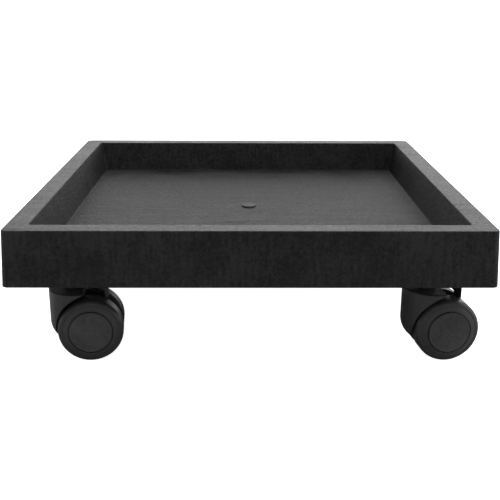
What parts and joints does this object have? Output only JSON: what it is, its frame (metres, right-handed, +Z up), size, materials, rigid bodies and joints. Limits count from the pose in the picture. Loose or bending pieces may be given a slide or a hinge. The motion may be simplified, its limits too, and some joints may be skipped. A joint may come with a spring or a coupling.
{
  "type": "plant pot caddy",
  "caption": "Square recessed tray that carries a plant pot and rolls on hooded twin-wheel swivel casters at its corners.",
  "frame": {"origin": "on the floor under the middle of the tray", "axes": "+Z up out of the pot recess, +X and +Y along the tray's sides, -Y is the front"},
  "size_m": [0.3594, 0.3594, 0.112],
  "materials": {
    "tray_plastic": "matte, fine grain",
    "caster_plastic": "satin",
    "cap_plastic": "satin",
    "socket_plastic": "satin",
    "tread": "satin",
    "pin_steel": "zinc plated",
    "spring_steel": "plain"
  },
  "bodies": {
    "tray_body": {"tray": "tray_plastic", "front_left_socket": "socket_plastic", "front_left_kingpin": "pin_steel", "front_left_grip_ring": "spring_steel", "front_left_retaining_clip": "spring_steel", "front_right_socket": "socket_plastic", "front_right_kingpin": "pin_steel", "front_right_grip_ring": "spring_steel", "front_right_retaining_clip": "spring_steel", "rear_left_socket": "socket_plastic", "rear_left_kingpin": "pin_steel", "rear_left_grip_ring": "spring_steel", "rear_left_retaining_clip": "spring_steel", "rear_right_socket": "socket_plastic", "rear_right_kingpin": "pin_steel", "rear_right_grip_ring": "spring_steel", "rear_right_retaining_clip": "spring_steel"},
    "front_left_swivel": {"front_left_housing": "caster_plastic", "front_left_axle": "pin_steel", "front_left_axle_clips": "spring_steel"},
    "front_left_left_wheel": {"front_left_left_wheel_core": "caster_plastic", "front_left_left_tyre": "tread", "front_left_left_hub_cap": "cap_plastic"},
    "front_left_right_wheel": {"front_left_right_wheel_core": "caster_plastic", "front_left_right_tyre": "tread", "front_left_right_hub_cap": "cap_plastic"},
    "front_right_swivel": {"front_right_housing": "caster_plastic", "front_right_axle": "pin_steel", "front_right_axle_clips": "spring_steel"},
    "front_right_left_wheel": {"front_right_left_wheel_core": "caster_plastic", "front_right_left_tyre": "tread", "front_right_left_hub_cap": "cap_plastic"},
    "front_right_right_wheel": {"front_right_right_wheel_core": "caster_plastic", "front_right_right_tyre": "tread", "front_right_right_hub_cap": "cap_plastic"},
    "rear_left_swivel": {"rear_left_housing": "caster_plastic", "rear_left_axle": "pin_steel", "rear_left_axle_clips": "spring_steel"},
    "rear_left_left_wheel": {"rear_left_left_wheel_core": "caster_plastic", "rear_left_left_tyre": "tread", "rear_left_left_hub_cap": "cap_plastic"},
    "rear_left_right_wheel": {"rear_left_right_wheel_core": "caster_plastic", "rear_left_right_tyre": "tread", "rear_left_right_hub_cap": "cap_plastic"},
    "rear_right_swivel": {"rear_right_housing": "caster_plastic", "rear_right_axle": "pin_steel", "rear_right_axle_clips": "spring_steel"},
    "rear_right_left_wheel": {"rear_right_left_wheel_core": "caster_plastic", "rear_right_left_tyre": "tread", "rear_right_left_hub_cap": "cap_plastic"},
    "rear_right_right_wheel": {"rear_right_right_wheel_core": "caster_plastic", "rear_right_right_tyre": "tread", "rear_right_right_hub_cap": "cap_plastic"}
  },
  "joints": [
    {"name": "front_left_swivel_joint", "type": "hinge", "parent": "tray_body", "child": "front_left_swivel", "pos_m": [-0.137, -0.137, 0.056], "axis": [0, 0, 1], "continuous": true},
    {"name": "front_left_left_wheel_spin", "type": "hinge", "parent": "front_left_swivel", "child": "front_left_left_wheel", "pos_m": [-0.12419, -0.13552, 0.025], "axis": [0.1149, -0.9934, 0], "continuous": true},
    {"name": "front_left_right_wheel_spin", "type": "hinge", "parent": "front_left_swivel", "child": "front_left_right_wheel", "pos_m": [-0.12419, -0.13552, 0.025], "axis": [0.1149, -0.9934, 0], "continuous": true},
    {"name": "front_right_swivel_joint", "type": "hinge", "parent": "tray_body", "child": "front_right_swivel", "pos_m": [0.137, -0.137, 0.056], "axis": [0, 0, 1], "continuous": true},
    {"name": "front_right_left_wheel_spin", "type": "hinge", "parent": "front_right_swivel", "child": "front_right_left_wheel", "pos_m": [0.14981, -0.13552, 0.025], "axis": [0.1149, -0.9934, 0], "continuous": true},
    {"name": "front_right_right_wheel_spin", "type": "hinge", "parent": "front_right_swivel", "child": "front_right_right_wheel", "pos_m": [0.14981, -0.13552, 0.025], "axis": [0.1149, -0.9934, 0], "continuous": true},
    {"name": "rear_left_swivel_joint", "type": "hinge", "parent": "tray_body", "child": "rear_left_swivel", "pos_m": [-0.137, 0.137, 0.056], "axis": [0, 0, 1], "continuous": true},
    {"name": "rear_left_left_wheel_spin", "type": "hinge", "parent": "rear_left_swivel", "child": "rear_left_left_wheel", "pos_m": [-0.12419, 0.13848, 0.025], "axis": [0.1149, -0.9934, 0], "continuous": true},
    {"name": "rear_left_right_wheel_spin", "type": "hinge", "parent": "rear_left_swivel", "child": "rear_left_right_wheel", "pos_m": [-0.12419, 0.13848, 0.025], "axis": [0.1149, -0.9934, 0], "continuous": true},
    {"name": "rear_right_swivel_joint", "type": "hinge", "parent": "tray_body", "child": "rear_right_swivel", "pos_m": [0.137, 0.137, 0.056], "axis": [0, 0, 1], "continuous": true},
    {"name": "rear_right_left_wheel_spin", "type": "hinge", "parent": "rear_right_swivel", "child": "rear_right_left_wheel", "pos_m": [0.14981, 0.13848, 0.025], "axis": [0.1149, -0.9934, 0], "continuous": true},
    {"name": "rear_right_right_wheel_spin", "type": "hinge", "parent": "rear_right_swivel", "child": "rear_right_right_wheel", "pos_m": [0.14981, 0.13848, 0.025], "axis": [0.1149, -0.9934, 0], "continuous": true}
  ]
}
